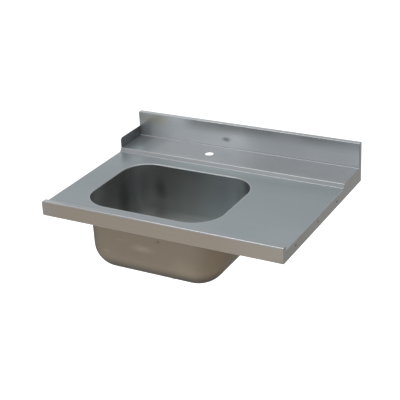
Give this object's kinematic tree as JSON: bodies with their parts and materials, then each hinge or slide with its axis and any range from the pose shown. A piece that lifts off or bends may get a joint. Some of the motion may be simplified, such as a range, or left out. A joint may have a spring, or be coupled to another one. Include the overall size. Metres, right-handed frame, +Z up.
{
  "type": "sink table",
  "caption": "Stainless steel sink table top with a deep pressed bowl, a drainer deck, a raised front edge, a rear ledge with a tap hole and an upstand.",
  "frame": {"origin": "on the outer face of the right-hand side apron, half way up it and half way between its front and middle bolt holes, where the table bolts to the machine beside it", "axes": "+X out of the right-hand end, +Y to the back with the upstand, +Z up"},
  "size_m": [1, 0.7499, 0.494],
  "materials": {
    "brushed_worktop_steel": "satin brushed stainless sheet with its grain along the table and lightly worn edges",
    "pressed_bowl_steel": "satin pressed stainless sheet with faint forming marks",
    "folded_section_steel": "plain stainless sheet as rolled",
    "turned_waste_steel": "polished stainless",
    "zinc_plated_screw": "zinc plated",
    "black_rubber": "matt moulded rubber",
    "white_waste_plastic": "moulded white plastic"
  },
  "bodies": {
    "table": {"worktop": "brushed_worktop_steel", "bowl": "pressed_bowl_steel", "front_corner_left": "brushed_worktop_steel", "front_corner_right": "brushed_worktop_steel", "left_end_cheek": "brushed_worktop_steel", "right_end_cheek": "brushed_worktop_steel", "rear_apron": "folded_section_steel", "drainer_stiffener_1": "folded_section_steel", "drainer_stiffener_2": "folded_section_steel", "leg_rail": "folded_section_steel", "leg_socket_front": "folded_section_steel", "leg_socket_rear": "folded_section_steel", "leg_set_screw_front": "zinc_plated_screw", "leg_set_screw_rear": "zinc_plated_screw", "waste_cup": "turned_waste_steel", "waste_top_seal": "black_rubber", "waste_under_seal": "black_rubber", "waste_friction_ring": "white_waste_plastic", "waste_lock_nut": "white_waste_plastic", "tail_seal": "black_rubber", "tailpiece": "turned_waste_steel", "tail_nut": "white_waste_plastic"},
    "strainer": {"strainer_basket": "turned_waste_steel", "strainer_plug_seal": "black_rubber", "strainer_knob": "turned_waste_steel"}
  },
  "joints": [
    {"name": "strainer_lift", "type": "slide", "parent": "table", "child": "strainer", "axis": [0, 0, 1], "range_m": [0, 0.06]}
  ]
}
